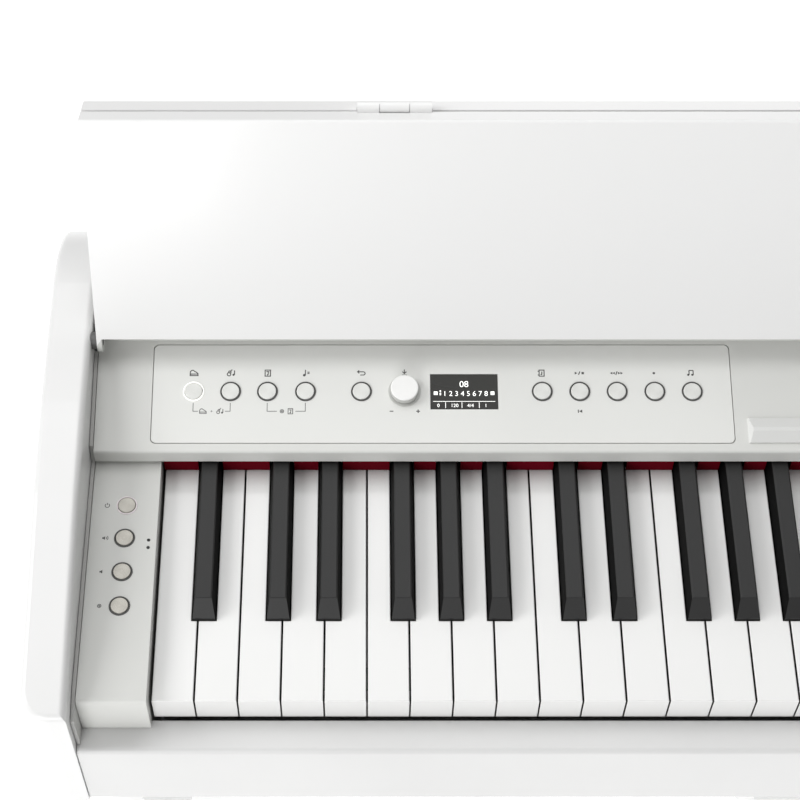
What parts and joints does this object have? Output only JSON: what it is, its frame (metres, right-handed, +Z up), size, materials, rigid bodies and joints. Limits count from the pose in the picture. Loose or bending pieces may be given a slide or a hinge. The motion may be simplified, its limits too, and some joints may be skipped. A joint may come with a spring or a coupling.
{
  "type": "digital piano on stand",
  "caption": "Slim cabinet digital piano on a two-leg stand with pedals; folding lid stands open behind a full keyboard, knob and round buttons on a sloped panel.",
  "frame": {"origin": "on the floor, under the middle of the piano's footprint", "axes": "+X to the player's right, +Y to the rear, +Z up"},
  "size_m": [1.36, 0.345, 0.9023],
  "materials": {
    "black_key": "satin black key plastic",
    "black_plastic": "black moulding",
    "brass": "polished brass",
    "circuit_board": "green circuit board",
    "dial_white": "white moulded knob",
    "grey_moulding": "fine-grained warm grey moulding",
    "liner_grey": "matt grey strip",
    "plate_grey": "smooth pale grey plate",
    "red_felt": "dark red wool felt",
    "ring_dark": "dark translucent ring",
    "screen": "dark window",
    "speaker_black": "black speaker frame",
    "spun_cap": "spun pale metal cap",
    "steel": "plain steel",
    "white_board": "satin white lacquered board",
    "white_key": "gloss white key plastic",
    "zinc_frame": "zinc-plated pressed steel"
  },
  "bodies": {
    "cabinet": {"left_arm": "white_board", "right_arm": "white_board", "key_bed": "white_board", "key_slip": "white_board", "top_board": "white_board", "rear_panel": "white_board", "fascia": "grey_moulding", "control_plate": "plate_grey", "display_window": "screen", "score_ledge": "grey_moulding", "felt_strip": "red_felt", "key_frame": "zinc_frame", "key_pivot_rod": "steel", "cheek_blocks": "grey_moulding", "side_liners": "liner_grey", "control_rings": "ring_dark", "switch_boards": "circuit_board", "lid_pivot_pins": "steel", "speakers": "speaker_black", "speaker_grilles": "black_plastic", "jack_boxes": "black_plastic", "left_leg": "white_board", "right_leg": "white_board", "foot_boards": "white_board", "stand_back_board": "white_board", "pedal_box": "white_board", "floor_glides": "black_plastic"},
    "lid": {"lid_leaf": "white_board"},
    "flap": {"lid_flap": "white_board"},
    "c_keys": {"c_keys": "white_key"},
    "c_sharp_keys": {"c_sharp_keys": "black_key"},
    "d_keys": {"d_keys": "white_key"},
    "d_sharp_keys": {"d_sharp_keys": "black_key"},
    "e_keys": {"e_keys": "white_key"},
    "f_keys": {"f_keys": "white_key"},
    "f_sharp_keys": {"f_sharp_keys": "black_key"},
    "g_keys": {"g_keys": "white_key"},
    "g_sharp_keys": {"g_sharp_keys": "black_key"},
    "a_keys": {"a_keys": "white_key"},
    "a_sharp_keys": {"a_sharp_keys": "black_key"},
    "b_keys": {"b_keys": "white_key"},
    "panel_button_1": {"panel_button_1": "spun_cap"},
    "panel_button_2": {"panel_button_2": "spun_cap"},
    "panel_button_3": {"panel_button_3": "spun_cap"},
    "panel_button_4": {"panel_button_4": "spun_cap"},
    "panel_button_5": {"panel_button_5": "spun_cap"},
    "panel_button_6": {"panel_button_6": "spun_cap"},
    "panel_button_7": {"panel_button_7": "spun_cap"},
    "panel_button_8": {"panel_button_8": "spun_cap"},
    "panel_button_9": {"panel_button_9": "spun_cap"},
    "panel_button_10": {"panel_button_10": "spun_cap"},
    "cheek_button_1": {"cheek_button_1": "spun_cap"},
    "cheek_button_2": {"cheek_button_2": "spun_cap"},
    "cheek_button_3": {"cheek_button_3": "spun_cap"},
    "power_button": {"power_button": "spun_cap"},
    "left_pedal": {"left_pedal": "brass"},
    "centre_pedal": {"centre_pedal": "brass"},
    "right_pedal": {"right_pedal": "brass"},
    "dial_shaft": {"dial_shaft": "steel"},
    "dial_knob": {"dial_knob": "dial_white"}
  },
  "joints": [
    {"name": "lid_hinge", "type": "hinge", "parent": "cabinet", "child": "lid", "pos_m": [0, 0.056, 0.7715], "axis": [1, 0, 0], "range_deg": [0, 120.2]},
    {"name": "flap_fold", "type": "hinge", "parent": "lid", "child": "flap", "pos_m": [0, 0.12145, 0.89884], "axis": [1, 0, 0], "range_deg": [0, 184]},
    {"name": "left_pedal_press", "type": "hinge", "parent": "cabinet", "child": "left_pedal", "pos_m": [0, 0.1035, 0.07], "axis": [1, 0, 0], "range_deg": [0, 4], "stiffness_Nm_per_rad": 15, "springref_deg": -14.32},
    {"name": "centre_pedal_press", "type": "hinge", "parent": "cabinet", "child": "centre_pedal", "pos_m": [0, 0.1035, 0.07], "axis": [1, 0, 0], "range_deg": [0, 4], "stiffness_Nm_per_rad": 15, "springref_deg": -14.32},
    {"name": "right_pedal_press", "type": "hinge", "parent": "cabinet", "child": "right_pedal", "pos_m": [0, 0.1035, 0.07], "axis": [1, 0, 0], "range_deg": [0, 4], "stiffness_Nm_per_rad": 15, "springref_deg": -14.32},
    {"name": "dial_push", "type": "slide", "parent": "cabinet", "child": "dial_shaft", "axis": [0, 0.1891, -0.982], "range_m": [0, 0.0005], "stiffness_N_per_m": 400, "springref_m": -0.002},
    {"name": "dial_turn", "type": "hinge", "parent": "dial_shaft", "child": "dial_knob", "pos_m": [-0.47322, 0.03166, 0.75443], "axis": [0, -0.1891, 0.982], "continuous": true},
    {"name": "c_key_press", "type": "hinge", "parent": "cabinet", "child": "c_keys", "pos_m": [0, 0.0645, 0.714], "axis": [1, 0, 0], "range_deg": [0, 2.65], "stiffness_Nm_per_rad": 4, "springref_deg": -22.92},
    {"name": "c_sharp_key_press", "type": "hinge", "parent": "cabinet", "child": "c_sharp_keys", "pos_m": [0, 0.0645, 0.714], "axis": [1, 0, 0], "range_deg": [0, 3.2], "stiffness_Nm_per_rad": 4, "springref_deg": -22.92},
    {"name": "d_key_press", "type": "hinge", "parent": "cabinet", "child": "d_keys", "pos_m": [0, 0.0645, 0.714], "axis": [1, 0, 0], "range_deg": [0, 2.65], "stiffness_Nm_per_rad": 4, "springref_deg": -22.92},
    {"name": "d_sharp_key_press", "type": "hinge", "parent": "cabinet", "child": "d_sharp_keys", "pos_m": [0, 0.0645, 0.714], "axis": [1, 0, 0], "range_deg": [0, 3.2], "stiffness_Nm_per_rad": 4, "springref_deg": -22.92},
    {"name": "e_key_press", "type": "hinge", "parent": "cabinet", "child": "e_keys", "pos_m": [0, 0.0645, 0.714], "axis": [1, 0, 0], "range_deg": [0, 2.65], "stiffness_Nm_per_rad": 4, "springref_deg": -22.92},
    {"name": "f_key_press", "type": "hinge", "parent": "cabinet", "child": "f_keys", "pos_m": [0, 0.0645, 0.714], "axis": [1, 0, 0], "range_deg": [0, 2.65], "stiffness_Nm_per_rad": 4, "springref_deg": -22.92},
    {"name": "f_sharp_key_press", "type": "hinge", "parent": "cabinet", "child": "f_sharp_keys", "pos_m": [0, 0.0645, 0.714], "axis": [1, 0, 0], "range_deg": [0, 3.2], "stiffness_Nm_per_rad": 4, "springref_deg": -22.92},
    {"name": "g_key_press", "type": "hinge", "parent": "cabinet", "child": "g_keys", "pos_m": [0, 0.0645, 0.714], "axis": [1, 0, 0], "range_deg": [0, 2.65], "stiffness_Nm_per_rad": 4, "springref_deg": -22.92},
    {"name": "g_sharp_key_press", "type": "hinge", "parent": "cabinet", "child": "g_sharp_keys", "pos_m": [0, 0.0645, 0.714], "axis": [1, 0, 0], "range_deg": [0, 3.2], "stiffness_Nm_per_rad": 4, "springref_deg": -22.92},
    {"name": "a_key_press", "type": "hinge", "parent": "cabinet", "child": "a_keys", "pos_m": [0, 0.0645, 0.714], "axis": [1, 0, 0], "range_deg": [0, 2.65], "stiffness_Nm_per_rad": 4, "springref_deg": -22.92},
    {"name": "a_sharp_key_press", "type": "hinge", "parent": "cabinet", "child": "a_sharp_keys", "pos_m": [0, 0.0645, 0.714], "axis": [1, 0, 0], "range_deg": [0, 3.2], "stiffness_Nm_per_rad": 4, "springref_deg": -22.92},
    {"name": "b_key_press", "type": "hinge", "parent": "cabinet", "child": "b_keys", "pos_m": [0, 0.0645, 0.714], "axis": [1, 0, 0], "range_deg": [0, 2.65], "stiffness_Nm_per_rad": 4, "springref_deg": -22.92},
    {"name": "panel_button_1_press", "type": "slide", "parent": "cabinet", "child": "panel_button_1", "axis": [0, 0.1891, -0.982], "range_m": [0, 0.0008], "stiffness_N_per_m": 300, "springref_m": -0.002},
    {"name": "panel_button_2_press", "type": "slide", "parent": "cabinet", "child": "panel_button_2", "axis": [0, 0.1891, -0.982], "range_m": [0, 0.0008], "stiffness_N_per_m": 300, "springref_m": -0.002},
    {"name": "panel_button_3_press", "type": "slide", "parent": "cabinet", "child": "panel_button_3", "axis": [0, 0.1891, -0.982], "range_m": [0, 0.0008], "stiffness_N_per_m": 300, "springref_m": -0.002},
    {"name": "panel_button_4_press", "type": "slide", "parent": "cabinet", "child": "panel_button_4", "axis": [0, 0.1891, -0.982], "range_m": [0, 0.0008], "stiffness_N_per_m": 300, "springref_m": -0.002},
    {"name": "panel_button_5_press", "type": "slide", "parent": "cabinet", "child": "panel_button_5", "axis": [0, 0.1891, -0.982], "range_m": [0, 0.0008], "stiffness_N_per_m": 300, "springref_m": -0.002},
    {"name": "panel_button_6_press", "type": "slide", "parent": "cabinet", "child": "panel_button_6", "axis": [0, 0.1891, -0.982], "range_m": [0, 0.0008], "stiffness_N_per_m": 300, "springref_m": -0.002},
    {"name": "panel_button_7_press", "type": "slide", "parent": "cabinet", "child": "panel_button_7", "axis": [0, 0.1891, -0.982], "range_m": [0, 0.0008], "stiffness_N_per_m": 300, "springref_m": -0.002},
    {"name": "panel_button_8_press", "type": "slide", "parent": "cabinet", "child": "panel_button_8", "axis": [0, 0.1891, -0.982], "range_m": [0, 0.0008], "stiffness_N_per_m": 300, "springref_m": -0.002},
    {"name": "panel_button_9_press", "type": "slide", "parent": "cabinet", "child": "panel_button_9", "axis": [0, 0.1891, -0.982], "range_m": [0, 0.0008], "stiffness_N_per_m": 300, "springref_m": -0.002},
    {"name": "panel_button_10_press", "type": "slide", "parent": "cabinet", "child": "panel_button_10", "axis": [0, 0.1891, -0.982], "range_m": [0, 0.0008], "stiffness_N_per_m": 300, "springref_m": -0.002},
    {"name": "cheek_button_1_press", "type": "slide", "parent": "cabinet", "child": "cheek_button_1", "axis": [0, 0, -1], "range_m": [0, 0.0008], "stiffness_N_per_m": 300, "springref_m": -0.002},
    {"name": "cheek_button_2_press", "type": "slide", "parent": "cabinet", "child": "cheek_button_2", "axis": [0, 0, -1], "range_m": [0, 0.0008], "stiffness_N_per_m": 300, "springref_m": -0.002},
    {"name": "cheek_button_3_press", "type": "slide", "parent": "cabinet", "child": "cheek_button_3", "axis": [0, 0, -1], "range_m": [0, 0.0008], "stiffness_N_per_m": 300, "springref_m": -0.002},
    {"name": "power_button_press", "type": "slide", "parent": "cabinet", "child": "power_button", "axis": [0, 0, -1], "range_m": [0, 0.0008], "stiffness_N_per_m": 300, "springref_m": -0.002}
  ]
}
